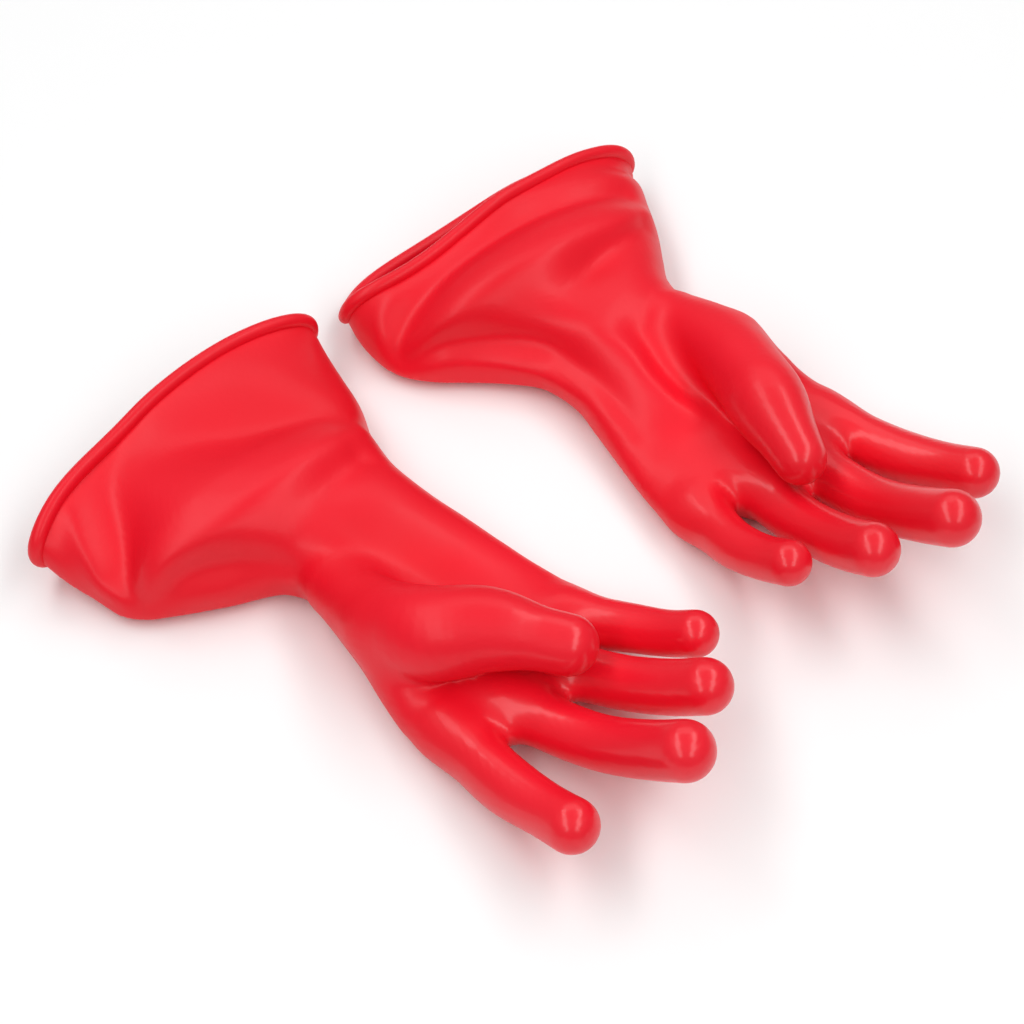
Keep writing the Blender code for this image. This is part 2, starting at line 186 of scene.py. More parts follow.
def smooth_curve(stations, rows, at):
    """Rows given at rising stations, joined by Catmull-Rom curves and read at other stations."""
    stations, rows = np.asarray(stations, float), np.asarray(rows, float)
    at = np.clip(np.asarray(at, float), stations[0], stations[-1])
    slopes = np.gradient(rows, stations, axis=0)
    i = np.clip(np.searchsorted(stations, at, side="right") - 1, 0, len(stations) - 2)
    span = stations[i + 1] - stations[i]
    t = (at - stations[i]) / span
    shape = (-1,) + (1,) * (rows.ndim - 1)
    t, span = t.reshape(shape), span.reshape(shape)
    return (
        (2 * t**3 - 3 * t**2 + 1) * rows[i]
        + (t**3 - 2 * t**2 + t) * span * slopes[i]
        + (3 * t**2 - 2 * t**3) * rows[i + 1]
        + (t**3 - t**2) * span * slopes[i + 1]
    )


def soft_min(a, b, melt):
    """The union of two distance fields, with a fillet of about the melt length."""
    h = np.clip(0.5 + 0.5 * (b - a) / melt, 0, 1)
    return b * (1 - h) + a * h - melt * h * (1 - h)


def soft_max(a, b, melt):
    return -soft_min(-a, -b, melt)


def along_and_away(points, a, b):
    """Each point's share of the way from a to b, and its distance from that segment."""
    span = b - a
    t = np.clip((points - a) @ span / (span @ span), 0, 1)
    return t, np.linalg.norm(points - a - t[:, None] * span, axis=1)


def chain_distance(line, points):
    """Distance of points to a chain of round cones, given by rows of x, y, z and radius."""
    nearest = np.full(len(points), 1e3)
    for a, b in zip(line, line[1:]):
        t, away = along_and_away(points, a[:3], b[:3])
        nearest = np.minimum(nearest, away - (a[3] + t * (b[3] - a[3])))
    return nearest


def resample(rows, step):
    """A smooth curve through rows that start with x, y and z, as rows about a step apart."""
    gaps = np.linalg.norm(np.diff(rows[:, :3], axis=0), axis=1)
    stations = np.concatenate([[0], np.cumsum(gaps)])
    return smooth_curve(stations, rows, np.linspace(0, stations[-1], int(stations[-1] / step) + 2))


def grid_box(axes, line, reach):
    """The part of a grid within reach of a line: its slices and its points."""
    low, high = line.min(axis=0) - reach, line.max(axis=0) + reach
    box = tuple(slice(*np.searchsorted(axis, (a, b))) for axis, a, b in zip(axes, low, high))
    points = np.meshgrid(*[axis[part] for axis, part in zip(axes, box)], indexing="ij")
    return box, np.stack([part.ravel() for part in points], axis=1)


def soften(values, passes):
    """Even out a grid of values by averaging neighbours."""
    for _ in range(passes):
        for axis in range(values.ndim):
            padded = np.concatenate([values.take([0], axis), values, values.take([-1], axis)], axis)
            low, high = (padded.take(range(k, k + values.shape[axis]), axis) for k in (0, 2))
            values = (low + 2 * values + high) / 4
    return values


def grid_value(axes, field, points):
    """The field at some points, by trilinear interpolation."""
    place = [np.clip((points[:, k] - axis[0]) / CELL, 0, len(axis) - 1.001) for k, axis in enumerate(axes)]
    low = [part.astype(int) for part in place]
    share = [part - whole for part, whole in zip(place, low)]
    total = np.zeros(len(points))
    for corner in range(8):
        steps = [corner >> k & 1 for k in range(3)]
        weight = np.prod([s if step else 1 - s for s, step in zip(share, steps)], axis=0)
        total += weight * field[tuple(whole + step for whole, step in zip(low, steps))]
    return total


class GloveFrame:
    """One glove's own frame, read from its wrist joint."""

    def __init__(self, side):
        self.side = side
        wrist = JOINTS[f"{side}_wrist_bend"]
        turn = math.atan2(-wrist["axis"][0], wrist["axis"][1])
        along = np.array([math.cos(turn), math.sin(turn), 0])
        across = np.array([-math.sin(turn), math.cos(turn), 0])
        if side == "left":
            across = -across
        self.axes = np.array([along, across, [0, 0, 1]])
        hinge = np.array(wrist["pos_m"]) / MM
        self.origin = np.array([hinge[0], hinge[1], 0]) - along * WRIST_X
        self.mirrored = side == "left"

    def local(self, world_metres):
        return (np.asarray(world_metres, float) / MM - self.origin) @ self.axes.T

    def world(self, local_mm):
        return (np.asarray(local_mm, float) @ self.axes + self.origin) * MM

    def node(self, name):
        """A CAD node's vertices and edges in this frame."""
        mesh = frame["nodes"][f"{self.side}_{name}"].data
        points = np.array([vert.co for vert in mesh.vertices])
        edges = np.array([edge.vertices[:] for edge in mesh.edges])
        return self.local(points), edges


def slice_node(points, edges, x):
    """Where a node's edges pass through the plane at x: an array of (y, z)."""
    a, b = points[edges[:, 0]], points[edges[:, 1]]
    crossing = (a[:, 0] - x) * (b[:, 0] - x) < 0
    a, b = a[crossing], b[crossing]
    t = ((x - a[:, 0]) / (b[:, 0] - a[:, 0]))[:, None]
    return (a + (b - a) * t)[:, 1:]


class Sleeve:
    """The gauntlet and the hand as a tube of superellipses, measured from the CAD nodes."""

    def __init__(self, glove):
        self.side = glove.side
        gauntlet, palm = glove.node("gauntlet"), glove.node("palm")
        rim, _ = glove.node("cuff_roll")
        edges, tops = [], []
        for x in EDGE_SLICES:
            outline = slice_node(*(gauntlet if x < WRIST_X else palm), x)
            low = outline[outline[:, 1] < 18]
            little = outline[np.argmax(outline[:, 0])]
            edges.append((low[:, 0].min(), little[0], little[1]))
        for x in TOP_SLICES:
            outline = slice_node(*(gauntlet if x < WRIST_X else palm), x)
            thumb_edge, little_edge, widest = edges[EDGE_SLICES.index(x)]
            middle, half = (thumb_edge + little_edge) / 2, (little_edge - thumb_edge) / 2
            probe = 0.55 if x > WRIST_X else 0.0
            near = outline[np.abs((outline[:, 0] - middle) / half - probe) < 0.12]
            share = (1 - probe**SECTION_POWER) ** (1 / SECTION_POWER)
            tops.append(widest + (near[:, 1].max() - widest) / share)
        top_at = smooth_curve(TOP_SLICES, np.array(tops)[:, None], EDGE_SLICES)[:, 0]
        rim_edges = (rim[:, 1].min() + BEAD_RADIUS, rim[:, 1].max() - BEAD_RADIUS)
        rim_top = rim[:, 2].max() - BEAD_RADIUS
        thumb_end = rim[np.abs(rim[:, 1] - rim[:, 1].min()) < 3]
        little_end = rim[np.abs(rim[:, 1] - rim[:, 1].max()) < 3]
        lips = [rim[np.abs(rim[:, 2] - height) < 3] for height in (rim[:, 2].max(), rim[:, 2].min())]
        self.rim_thumb_x, self.rim_little_x = thumb_end[:, 0].mean(), little_end[:, 0].mean()
        self.rim_upper_x, self.rim_lower_x = (lip[:, 0].mean() for lip in lips)
        self.rim_x = -106.0
        rim_widest = (thumb_end[:, 2].mean() + little_end[:, 2].mean()) / 2
        rows = [(rim_edges[0], rim_edges[1], rim_widest, rim_top, BEAD_RADIUS)]
        rows += [(*edge, top, -FLOOR_SINK) for edge, top in zip(edges, top_at)]
        rows.append(rows[-1])
        self.stations = np.array([self.rim_x, *EDGE_SLICES, 125.0])
        self.rows = np.array(rows)

    def at(self, x):
        """Middle y, half width, widest z, height above it and depth below it."""
        values = smooth_curve(self.stations, self.rows, np.atleast_1d(x))
        thumb_edge, little_edge, widest, top, bottom = values.T
        return (thumb_edge + little_edge) / 2, (little_edge - thumb_edge) / 2, widest, top - widest, widest - bottom

    def unit(self, x, y, z):
        """A point's place across and up its section, as shares of the section's half sizes."""
        middle, half, widest, rise, drop = self.at(x)
        u = (y - middle) / half
        v = (z - widest) / np.where(z > widest, rise, drop)
        return u, v

    def fold_lift(self, axes, field):
        """How far the folds lift the skin, on the grid; it depends on the distance along the skin."""
        lift = np.zeros(field.shape)
        for fold in FOLDS[self.side]:
            line = resample(np.array(fold, float), FOLD_STEP)
            box, points = grid_box(axes, line[:, :3], FOLD_REACH * line[:, 4].max())
            level = field[box].ravel()
            line = np.column_stack([line, grid_value(axes, field, line[:, :3])])
            stroke = np.zeros(len(points))
            for a, b in zip(line, line[1:]):
                t, away = along_and_away(points, a[:3], b[:3])
                height, width, line_level = (a[3:] + t[:, None] * (b[3:] - a[3:])).T
                across_skin = np.clip(level - line_level, -FOLD_DEPTH, FOLD_DEPTH)
                along_skin = np.sqrt(np.maximum(away**2 - across_skin**2, 0))
                bump = height * np.exp(-((along_skin / width) ** FOLD_POWER))
                stroke = np.where(np.abs(bump) > np.abs(stroke), bump, stroke)
            lift[box] += stroke.reshape(lift[box].shape)
        return soften(lift, FOLD_SOFTENING) * smooth_step(axes[2], *FOLD_HEIGHTS)

    def distance(self, axes):
        """The field of the tube on the grid of the three axes."""
        x, y, z = axes
        middle, half, widest, rise, drop = (value[:, None, None] for value in self.at(x))
        y, z = y[None, :, None], z[None, None, :]
        height = np.where(z > widest, rise, drop)
        u, v = np.abs(y - middle) / half, np.abs(z - widest) / height
        f = np.maximum((u**SECTION_POWER + v**SECTION_POWER) ** (1 / SECTION_POWER), 1e-3)
        slope_y = (u / f) ** (SECTION_POWER - 1) / half
        slope_z = (v / f) ** (SECTION_POWER - 1) / height
        field = (f - 1) / np.sqrt(slope_y**2 + slope_z**2)
        return field - self.fold_lift(axes, field)

    def rim_shift(self, points):
        """How far points move in x so that the rim follows the loop of the rolled cuff."""
        u, v = self.unit(points[:, 0], points[:, 1], points[:, 2])
        across = np.sign(u) * np.minimum(np.abs(u), 1) ** (SECTION_POWER / 2)
        end = np.where(u > 0, self.rim_little_x, self.rim_thumb_x)
        lip = np.where(v > 0, self.rim_upper_x, self.rim_lower_x)
        loop = lip + (end - lip) * np.abs(across) ** RIM_TURN[self.side]
        return (loop - self.rim_x) * smooth_step(points[:, 0], RIM_FADE_END, self.rim_x)


class Stall:
    """A finger or thumb stall: a tapering centre line through its hinges to its tip."""

    def __init__(self, glove, sleeve, name):
        self.name = name
        root = JOINTS[f"{glove.side}_{name}_bend"]
        tip = JOINTS[f"{glove.side}_{name}_tip_bend"]
        root_hinge, tip_hinge = glove.local(root["pos_m"]), glove.local(tip["pos_m"])
        self.bends = [math.radians(max(map(abs, joint["range_deg"]))) for joint in (root, tip)]
        root_radius = self.width_at(glove, f"{name}_middle", root_hinge, root["axis"])
        tip_radius = self.width_at(glove, f"{name}_tip", tip_hinge, tip["axis"])
        end_points, _ = glove.node(f"{name}_tip")
        end = end_points[np.argmax(np.linalg.norm(end_points - tip_hinge, axis=1))]
        end_direction = (end - tip_hinge) / np.linalg.norm(end - tip_hinge)
        offsets = end_points - tip_hinge
        aside = offsets - np.outer(offsets @ end_direction, end_direction)
        end_radius = np.linalg.norm(aside, axis=1).max()
        if name == "thumb":
            end_radius *= THUMB_END[glove.side]
            rows = [list(row) for row in THUMB_ROOT[glove.side]]
        else:
            middle, half, *_ = sleeve.at(KNUCKLE_X)
            y = middle[0] + half[0] * (2 * KNUCKLES[name] - 1)
            rows = [[KNUCKLE_X, y, KNUCKLE_Z, KNUCKLE_RADIUS]]
        swell = ROOT_SWELL.get(name, 0.0)
        rows += [[*root_hinge, root_radius + swell], [*tip_hinge, tip_radius]]
        rows.append([*(end - end_direction * end_radius), end_radius])
        self.line = resample(np.array(rows), STALL_STEP)
        self.hinges = (root_hinge, tip_hinge)
        self.radii = (root_radius, tip_radius)

    @staticmethod
    def width_at(glove, node, hinge, axis):
        """The radius of a stall at a hinge: how far its node reaches along the hinge's axis there."""
        points, _ = glove.node(node)
        axis = glove.axes @ np.array(axis)
        offsets = points - hinge
        along = offsets @ axis
        aside = np.linalg.norm(offsets - np.outer(along, axis), axis=1)
        return np.abs(along[aside < 4]).max()

    def direction(self, hinge):
        """The stall's direction at a hinge, away from the hand."""
        nearest = np.argmin(np.linalg.norm(self.line[:, :3] - hinge, axis=1))
        nearest = min(max(nearest, 1), len(self.line) - 2)
        step = self.line[nearest + 1, :3] - self.line[nearest - 1, :3]
        return step / np.linalg.norm(step)

    def distance(self, points):
        return chain_distance(self.line, points)

    def zone(self, index):
        """Start and end of the bending zone at the root (0) or tip (1) hinge."""
        hinge, direction = self.hinges[index], self.direction(self.hinges[index])
        if self.name == "thumb" and index == 0:
            return hinge + direction * THUMB_ZONE[0], hinge + direction * THUMB_ZONE[1]
        reach = ZONE_SHARE * self.bends[index] * self.radii[index] / 2
        return hinge - direction * reach, hinge + direction * reach

    def split(self):
        """Point and direction of the cut between the stall's middle and tip pieces."""
        point = (self.zone(0)[1] + self.zone(1)[0]) / 2
        direction = self.hinges[1] - self.hinges[0]
        return point, direction / np.linalg.norm(direction)


def skin_field(sleeve, stalls):
    """The glove's distance field, with the three axes of its grid."""
    lows = np.array([sleeve.rim_x - RIM_OVERRUN, sleeve.rows[:, 0].min() - 8, -4])
    ends = np.array([stall.line[-1, :3] + stall.line[-1, 3] for stall in stalls])
    highs = np.array([ends[:, 0].max() + 5, sleeve.rows[:, 1].max() + 8, ends[:, 2].max() + 5])
    axes = [np.arange(low, high, CELL) for low, high in zip(lows, highs)]
    x, y, z = axes
    field = sleeve.distance(axes)
    middle, half, *_ = sleeve.at(x)
    share = ((y[None, :] - middle[:, None]) / half[:, None] + 1) / 2
    web_shares, web_reaches = np.array(WEBS).T
    web_x = smooth_curve(web_shares, web_reaches[:, None], share.ravel())[:, 0].reshape(share.shape)
    field = soft_max(field, x[:, None, None] - web_x[:, :, None], WEB_SOFTNESS)
    field = soft_max(field, -z[None, None, :] - FLAT_BOTTOM + np.zeros_like(field), BOTTOM_SOFTNESS)
    web = np.array(THUMB_WEB[sleeve.side], float)
    for line, stall in [(web, None)] + [(stall.line, stall) for stall in stalls]:
        box, points = grid_box(axes, line[:, :3], line[:, 3].max() + 3 * CELL + FINGER_MELT)
        distance = chain_distance(line, points).reshape(field[box].shape)
        if stall is None:
            melt = THUMB_WEB_MELT
        elif stall.name == "thumb":
            fade = smooth_step(x[box[0]], *THUMB_MELT_SPAN)[:, None, None]
            melt = THUMB_MELT[0] + (THUMB_MELT[1] - THUMB_MELT[0]) * fade
        else:
            melt = FINGER_MELT
        field[box] = soft_min(field[box], distance, melt)
    return field, axes


def surface_nets(field, axes):
    """Vertices and quads of the field's zero surface: one vertex in each cell that it crosses."""
    inside = field < 0
    shape = tuple(n - 1 for n in field.shape)
    total, count = np.zeros(shape + (3,)), np.zeros(shape)
    corners = [(i, j, k) for i in (0, 1) for j in (0, 1) for k in (0, 1)]

    def corner(values, offset):
        return values[tuple(slice(o, o + n) for o, n in zip(offset, shape))]

    for a in corners:
        for axis in range(3):
            if a[axis]:
                continue
            b = tuple(value + (k == axis) for k, value in enumerate(a))
            low, high = corner(field, a), corner(field, b)
            crossed = corner(inside, a) != corner(inside, b)
            t = np.where(crossed, low / np.where(crossed, low - high, 1), 0)
            count += crossed
            for k in range(3):
                place = a[k] + (t if k == axis else 0)
                total[..., k] += crossed * place
    active = count > 0
    number = np.full(shape, -1)
    number[active] = np.arange(active.sum())
    cells = np.argwhere(active)
    vertices = cells + total[active] / count[active][:, None]
    vertices = vertices * CELL + np.array([axis[0] for axis in axes])
    quads = []
    for axis in range(3):
        others = [k for k in range(3) if k != axis]
        size = [n - 1 if k == axis else n - 2 for k, n in enumerate(field.shape)]
        start = [slice(0, size[k]) if k == axis else slice(1, 1 + size[k]) for k in range(3)]
        end = list(start)
        end[axis] = slice(1, 1 + size[axis])
        here, there = inside[tuple(start)], inside[tuple(end)]
        edges = np.argwhere(here != there)
        leaving = here[tuple(edges.T)]
        ring = []
        for du, dv in ((0, 0), (1, 0), (1, 1), (0, 1)):
            cell = edges.copy()
            cell[:, others[0]] += du
            cell[:, others[1]] += dv
            ring.append(number[tuple(cell.T)])
        quad = np.stack(ring, axis=1)
        flip = leaving != (axis != 1)
        quad[flip] = quad[flip][:, ::-1]
        quads.append(quad)
    return vertices, np.concatenate(quads)


def pinch_free_surface(field, axes):
    """The zero surface after filling the narrow clefts in which it would touch itself."""
    first = np.array([axis[0] for axis in axes])
    for attempt in range(PINCH_PASSES):
        vertices, quads = surface_nets(field, axes)
        sides = np.concatenate([quads[:, [k, (k + 1) % 4]] for k in range(4)])
        sides, uses = np.unique(np.sort(sides, axis=1), axis=0, return_counts=True)
        pinched = np.unique(sides[uses > 2])
        if len(pinched) == 0:
            break
        for i, j, k in ((vertices[pinched] - first) / CELL).astype(int):
            cell = field[i : i + 2, j : j + 2, k : k + 2]
            narrow = cell < PINCH_WIDTH * 2**attempt * CELL
            cell[narrow] = np.minimum(cell[narrow], -PINCH_FILL * CELL)
    return vertices, quads


def neighbour_sums(quads, count):
    """Index pairs of neighbouring vertices and each vertex's number of neighbours."""
    pairs = np.concatenate([quads[:, [k, (k + 1) % 4]] for k in range(4)])
    pairs = np.unique(np.sort(pairs, axis=1), axis=0)
    pairs = np.concatenate([pairs, pairs[:, ::-1]])
    return pairs, np.bincount(pairs[:, 0], minlength=count)


def smooth_vertices(vertices, quads, passes):
    """Even out a mesh without shrinking it."""
    pairs, degree = neighbour_sums(quads, len(vertices))
    for strength in (0.5, -0.52) * passes:
        mean = np.zeros_like(vertices)
        for k in range(3):
            mean[:, k] = np.bincount(pairs[:, 0], vertices[pairs[:, 1], k], len(vertices))
        mean /= np.maximum(degree, 1)[:, None]
        vertices = vertices + strength * (mean - vertices)
    return vertices


def vertex_normals(vertices, faces):
    """Area-weighted normals, from triangles or quads."""
    corners = vertices[faces]
    face_normals = np.cross(corners[:, 2] - corners[:, 0], corners[:, -1] - corners[:, 1])
    normals = np.zeros_like(vertices)
    for k in range(faces.shape[1]):
        for axis in range(3):
            normals[:, axis] += np.bincount(faces[:, k], face_normals[:, axis], len(vertices))
    return normals / np.maximum(np.linalg.norm(normals, axis=1), 1e-9)[:, None]


class Skin:
    """A glove's outer surface as a bmesh in its own frame, cut along the seams of its pieces."""

    def __init__(self, glove, sleeve, stalls):
        self.glove, self.sleeve, self.stalls = glove, sleeve, stalls
        field, axes = skin_field(sleeve, stalls)
        vertices, quads = pinch_free_surface(field, axes)
        vertices = smooth_vertices(vertices, quads, SMOOTHING_PASSES)
        self.mesh = bmesh.new()
        made = [self.mesh.verts.new(point) for point in vertices]
        for quad in quads:
            self.mesh.faces.new([made[i] for i in quad])
        self.label = self.mesh.faces.layers.int.new("piece")
        self.keep_largest_part()
        self.cut_everywhere()
        self.name_pieces()

    def keep_largest_part(self):
        """Drop specks that aren't joined to the glove."""
        self.mesh.verts.ensure_lookup_table()
        seen, parts = set(), []
        for vert in self.mesh.verts:
            if vert in seen:
                continue
            part, queue = [], [vert]
            seen.add(vert)
            while queue:
                at = queue.pop()
                part.append(at)
                for edge in at.link_edges:
                    other = edge.other_vert(at)
                    if other not in seen:
                        seen.add(other)
                        queue.append(other)
            parts.append(part)
        parts.sort(key=len)
        specks = [vert for part in parts[:-1] for vert in part]
        if specks:
            bmesh.ops.delete(self.mesh, geom=specks, context="VERTS")

    def cut(self, point, direction, radius, clear_inner=False):
        """Cut the faces within a radius of a point with a plane."""
        point = Vector(point)
        faces = [face for face in self.mesh.faces if (face.calc_center_median() - point).length < radius]
        geometry = set(faces)
        for face in faces:
            geometry.update(face.edges)
            geometry.update(face.verts)
        bmesh.ops.bisect_plane(
            self.mesh,
            geom=list(geometry),
            dist=0.02,
            plane_co=point,
            plane_no=Vector(direction),
            clear_inner=clear_inner,
        )

    def cut_everywhere(self):
        across = 400.0
        self.cut((self.sleeve.rim_x + 1, 0, 20), (1, 0, 0), across, clear_inner=True)
        self.cut((WRIST_X + WRIST_ZONE[0], 0, 20), (1, 0, 0), across)
        for stall in self.stalls:
            start, _ = stall.zone(0)
            self.cut(start, stall.direction(stall.hinges[0]), stall.radii[0] * 1.4)
            self.cut(*stall.split(), stall.radii[0] * 1.4)

    def name_pieces(self):
        """Number each face's piece: 0 hand, 1 gauntlet, then middle and tip of each stall."""
        self.pieces = ["hand", "gauntlet"]
        faces = list(self.mesh.faces)
        centres = np.array([face.calc_center_median() for face in faces])
        labels = np.where(centres[:, 0] < WRIST_X + WRIST_ZONE[0], 1, 0)
        for stall in self.stalls:
            on_stall = stall.distance(centres) < 1.2
            start, _ = stall.zone(0)
            beyond_start = (centres - start) @ stall.direction(stall.hinges[0]) > 0
            split, direction = stall.split()
            beyond_split = (centres - split) @ direction > 0
            labels[on_stall & beyond_start] = len(self.pieces)
            labels[on_stall & beyond_split] = len(self.pieces) + 1
            self.pieces += [f"{stall.name}_middle", f"{stall.name}_tip"]
        for face, label in zip(faces, labels):
            face[self.label] = int(label)
        self.absorb_islands()

    def absorb_islands(self):
        """Give each patch that is cut off from the rest of its piece to the piece around it."""
        seen, patches = set(), {}
        for face in self.mesh.faces:
            if face in seen:
                continue
            patch, queue = [], [face]
            seen.add(face)
            while queue:
                at = queue.pop()
                patch.append(at)
                for edge in at.edges:
                    for other in edge.link_faces:
                        if other not in seen and other[self.label] == face[self.label]:
                            seen.add(other)
                            queue.append(other)
            patches.setdefault(face[self.label], []).append(patch)
        for label, found in patches.items():
            for patch in sorted(found, key=len)[:-1]:
                around = [o[self.label] for f in patch for e in f.edges for o in e.link_faces]
                around = [other for other in around if other != label]
                for face in patch:
                    face[self.label] = max(set(around), key=around.count)

    def finish(self):
        """Move the rim into place and make every vertex's inner partner; all in world metres."""
        bmesh.ops.triangulate(self.mesh, faces=[face for face in self.mesh.faces if len(face.verts) > 4])
        self.mesh.verts.index_update()
        points = np.array([vert.co for vert in self.mesh.verts])
        points[:, 0] += self.sleeve.rim_shift(points)
        faces = [[vert.index for vert in face.verts] for face in self.mesh.faces]
        triangles = np.array([(face[0], face[k], face[k + 1]) for face in faces for k in range(1, len(face) - 1)])
        normals = vertex_normals(points, triangles)
        outer, inner = self.glove.world(points), self.glove.world(points - normals * WALL)
        world_normals = normals @ self.glove.axes
        gloss = smooth_step(points[:, 0], *GLOSS_SPAN)
        self.rim = self.rim_loop(points)
        return outer, inner, world_normals, gloss, faces, [face[self.label] for face in self.mesh.faces]

    def rim_loop(self, points):
        """The skin's open edge as a loop of points."""
        following = {}
        for edge in self.mesh.edges:
            if edge.is_boundary:
                loop = edge.link_loops[0]
                following[loop.vert.index] = loop.link_loop_next.vert.index
        order = [next(iter(following))]
        while following[order[-1]] != order[0]:
            order.append(following[order[-1]])
        return points[order]


def shell_piece(name, outer, inner, normals, gloss, faces, mirrored):
    """A closed shell from some faces of the skin, their inner partners, and a strip around the cut."""
    used = sorted({i for face in faces for i in face})
    new = {old: k for k, old in enumerate(used)}
    count = len(used)
    border = {}
    for face in faces:
        for a, b in zip(face, face[1:] + face[:1]):
            if (b, a) in border:
                del border[(b, a)]
            else:
                border[(a, b)] = True
    skin = [[new[i] for i in face] for face in faces]
    lining = [[new[i] + count for i in reversed(face)] for face in faces]
    strip = [[new[b], new[a], new[a] + count, new[b] + count] for a, b in border]
    polygons = skin + lining + strip
    if mirrored:
        polygons = [polygon[::-1] for polygon in polygons]
    mesh = bpy.data.meshes.new(name)
    mesh.from_pydata(np.concatenate([outer[used], inner[used]]).tolist(), [], polygons)
    mesh.shade_smooth()
    corner_normals = []
    for k, polygon in enumerate(mesh.polygons):
        if k < len(skin) + len(lining):
            for i in polygon.vertices:
                corner_normals.append(normals[used[i]] if i < count else -normals[used[i - count]])
        else:
            corner_normals.extend([polygon.normal] * len(polygon.vertices))
    mesh.normals_split_custom_set(corner_normals)
    put_gloss(mesh, np.tile(gloss[used], 2))
    obj = bpy.data.objects.new(name, mesh)
    bpy.context.scene.collection.objects.link(obj)
    return obj


def put_gloss(mesh, values):
    attribute = mesh.attributes.new(GLOSS, "FLOAT", "POINT")
    attribute.data.foreach_set("value", np.asarray(values, np.float32))


def build_glove(side, material):
    glove = GloveFrame(side)
    sleeve = Sleeve(glove)
    stalls = [Stall(glove, sleeve, name) for name in (*FINGERS, "thumb")]
    skin = Skin(glove, sleeve, stalls)
    outer, inner, normals, gloss, faces, labels = skin.finish()
    hand_body = f"{side}_hand"
    for k, name in enumerate(skin.pieces):
        chosen = [face for face, label in zip(faces, labels) if label == k]
        piece = shell_piece(f"{side}_{name}_skin", outer, inner, normals, gloss, chosen, glove.mirrored)
        piece.data.materials.append(material)
        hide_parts(f"{side}_{'palm' if name == 'hand' else name}")
        if name == "hand":
            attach(piece, hand_body)
        elif name == "gauntlet":
            start = glove.world((WRIST_X + WRIST_ZONE[0], 0, 20))
            end = glove.world((WRIST_X + WRIST_ZONE[1], 0, 20))
            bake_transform(piece)
        else:
            stall = stalls[(k - 2) // 2]
            part = (k - 2) % 2
            start, end = (glove.world(point) for point in stall.zone(part))
            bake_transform(piece)
    bead = cuff_bead(glove, skin.rim)
    bead.data.materials.append(material)
    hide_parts(f"{side}_cuff_roll")
    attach(bead, f"{side}_cuff")


def cuff_bead(glove, loop):
    """The rolled edge of the cuff: a soft, slightly flattened roll along the skin's open edge."""
    lengths = np.linalg.norm(np.roll(loop, -1, axis=0) - loop, axis=1)
    stations = np.concatenate([[0], np.cumsum(lengths)])
    closed = np.vstack([loop, loop[:1]])
    at = np.linspace(0, stations[-1], BEAD_STEPS, endpoint=False)
    centre = np.stack([np.interp(at, stations, closed[:, k]) for k in range(3)], axis=1)
    for _ in range(BEAD_SMOOTHING):
        centre = (np.roll(centre, 1, axis=0) + 2 * centre + np.roll(centre, -1, axis=0)) / 4
    tangent = np.roll(centre, -1, axis=0) - np.roll(centre, 1, axis=0)
    tangent /= np.linalg.norm(tangent, axis=1)[:, None]
    outward = np.cross(tangent, (1.0, 0, 0))
    outward /= np.linalg.norm(outward, axis=1)[:, None]
    forward = np.cross(outward, tangent)
    rings = []
    for k in range(BEAD_SIDES):
        angle = 2 * math.pi * k / BEAD_SIDES
        out = BEAD_RADIUS * math.cos(angle)
        ahead = BEAD_RADIUS * BEAD_SQUASH * math.sin(angle)
        rings.append(centre + outward * out + forward * ahead)
    points = np.stack(rings, axis=1).reshape(-1, 3)
    faces = []
    for i in range(BEAD_STEPS):
        for k in range(BEAD_SIDES):
            i2, k2 = (i + 1) % BEAD_STEPS, (k + 1) % BEAD_SIDES
            faces.append((i * BEAD_SIDES + k, i2 * BEAD_SIDES + k, i2 * BEAD_SIDES + k2, i * BEAD_SIDES + k2))
    mesh = bpy.data.meshes.new(f"{glove.side}_cuff_bead")
    mesh.from_pydata(glove.world(points).tolist(), [], faces)
    bm = bmesh.new()
    bm.from_mesh(mesh)
    bmesh.ops.recalc_face_normals(bm, faces=bm.faces)
    bm.to_mesh(mesh)
    bm.free()
    mesh.shade_smooth()
    obj = bpy.data.objects.new(mesh.name, mesh)
    bpy.context.scene.collection.objects.link(obj)
    return obj


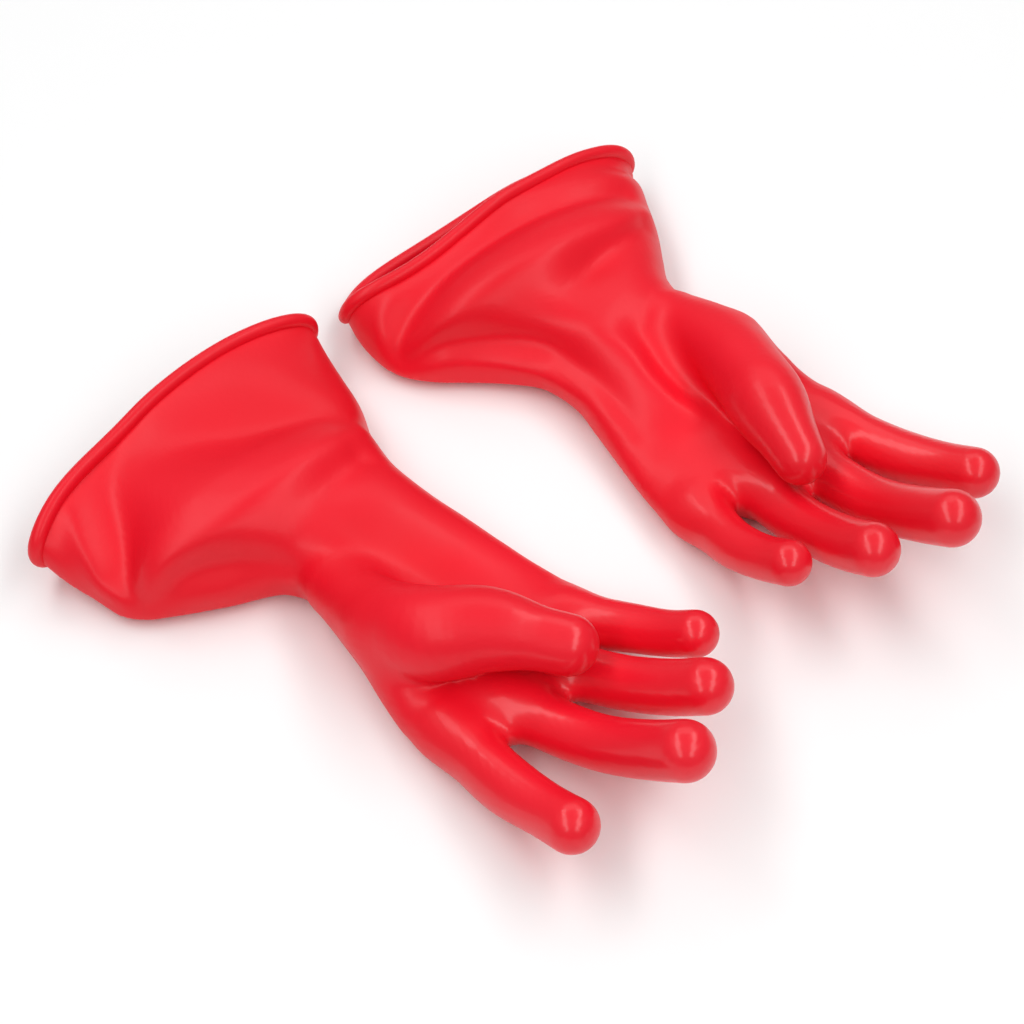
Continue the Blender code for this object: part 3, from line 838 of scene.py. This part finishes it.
def rubber_material():
    """Dipped natural rubber: a broad soft sheen, with a sharper gloss towards the fingertips."""
    material = bpy.data.materials.new("red_rubber")
    material.use_nodes = True
    nodes, links = material.node_tree.nodes, material.node_tree.links
    shader = nodes["Principled BSDF"]
    shader.inputs["IOR"].default_value = 1.5
    shader.inputs["Specular IOR Level"].default_value = 0.3
    shader.inputs["Coat Roughness"].default_value = 0.17
    coordinates = nodes.new("ShaderNodeTexCoord")

    def noise_between(scale, detail, low, high):
        noise = nodes.new("ShaderNodeTexNoise")
        noise.inputs["Scale"].default_value = scale
        noise.inputs["Detail"].default_value = detail
        links.new(coordinates.outputs["Object"], noise.inputs["Vector"])
        ramp = nodes.new("ShaderNodeMapRange")
        ramp.inputs["From Min"].default_value = 0.3
        ramp.inputs["From Max"].default_value = 0.7
        ramp.inputs["To Min"].default_value = low
        ramp.inputs["To Max"].default_value = high
        links.new(noise.outputs["Fac"], ramp.inputs["Value"])
        return ramp.outputs["Result"]

    mix = nodes.new("ShaderNodeMix")
    mix.data_type = "RGBA"
    mix.inputs["A"].default_value = (0.79, 0.0030, 0.014, 1)
    mix.inputs["B"].default_value = (0.87, 0.0048, 0.021, 1)
    links.new(noise_between(11.0, 3.0, 0.0, 1.0), mix.inputs["Factor"])
    links.new(mix.outputs["Result"], shader.inputs["Base Color"])
    links.new(noise_between(60.0, 2.0, 0.42, 0.48), shader.inputs["Roughness"])
    gloss = nodes.new("ShaderNodeAttribute")
    gloss.attribute_name = GLOSS
    coat = nodes.new("ShaderNodeMapRange")
    coat.inputs["To Min"].default_value = 0.05
    coat.inputs["To Max"].default_value = 0.45
    links.new(gloss.outputs["Fac"], coat.inputs["Value"])
    links.new(coat.outputs["Result"], shader.inputs["Coat Weight"])
    bump = nodes.new("ShaderNodeBump")
    bump.inputs["Strength"].default_value = 0.08
    bump.inputs["Distance"].default_value = 0.0004
    links.new(noise_between(420.0, 3.0, 0.0, 1.0), bump.inputs["Height"])
    links.new(bump.outputs["Normal"], shader.inputs["Normal"])
    return material


def plain_material(name, colour, roughness):
    material = bpy.data.materials.new(name)
    material.use_nodes = True
    shader = material.node_tree.nodes["Principled BSDF"]
    shader.inputs["Base Color"].default_value = (*colour, 1)
    shader.inputs["Roughness"].default_value = roughness
    return material


def add_stage():
    """A plain pale floor."""
    bpy.ops.mesh.primitive_plane_add(size=8.0, location=(0, 0, -0.0005))
    floor = bpy.context.object
    floor.name = "floor"
    floor.data.materials.append(plain_material("pale_floor", (0.95, 0.95, 0.95), 0.8))


def strip_light(name, place, along, size, power):
    """A long softbox that faces the gloves; along is the direction of its length."""
    data = bpy.data.lights.new(name, "AREA")
    data.shape = "RECTANGLE"
    data.size, data.size_y = size
    data.energy = power
    facing = -place.normalized()
    across = along.cross(-facing).normalized()
    length = (-facing).cross(across)
    light = bpy.data.objects.new(name, data)
    light.matrix_world = Matrix.Translation(place) @ Matrix((across, length, -facing)).transposed().to_4x4()
    bpy.context.scene.collection.objects.link(light)


CAMERA_AZIMUTH = math.radians(43.5)
CAMERA_ELEVATION = math.radians(50.8)
CAMERA_DISTANCE = 1.047
CAMERA_LENS = 77.1
CAMERA_TARGET = Vector((-0.0128, -0.0115, 0))


def camera_axes():
    back = Vector((
        math.sin(CAMERA_AZIMUTH) * math.cos(CAMERA_ELEVATION),
        -math.cos(CAMERA_AZIMUTH) * math.cos(CAMERA_ELEVATION),
        math.sin(CAMERA_ELEVATION),
    ))
    right = Vector((math.cos(CAMERA_AZIMUTH), math.sin(CAMERA_AZIMUTH), 0))
    return back, right


def add_camera():
    back, _ = camera_axes()
    data = bpy.data.cameras.new("camera")
    data.lens = CAMERA_LENS
    camera = bpy.data.objects.new("camera", data)
    camera.location = CAMERA_TARGET + back * CAMERA_DISTANCE
    camera.rotation_euler = (-back).to_track_quat("-Z", "Y").to_euler()
    bpy.context.scene.collection.objects.link(camera)
    bpy.context.scene.camera = camera


def add_lights():
    world = bpy.data.worlds.new("studio")
    world.use_nodes = True
    world.node_tree.nodes["Background"].inputs["Color"].default_value = (1, 1, 1, 1)
    world.node_tree.nodes["Background"].inputs["Strength"].default_value = 0.22
    bpy.context.scene.world = world
    back, right = camera_axes()
    ahead = Vector((-back.x, -back.y, 0)).normalized()
    for name, side in (("softbox_left", -1), ("softbox_right", 1)):
        place = Vector((0, 0, 1.6)) - ahead * 0.3 + right * 0.85 * side
        strip_light(name, place, ahead, (0.5, 3.4), 22)
    strip_light("softbox_far", ahead * 1.3 + Vector((0, 0, 1.5)), right, (1.0, 1.6), 6)
    bpy.context.scene.view_settings.view_transform = "Standard"


rubber = rubber_material()
for glove_side in ("right", "left"):
    build_glove(glove_side, rubber)
add_stage()
add_lights()
add_camera()
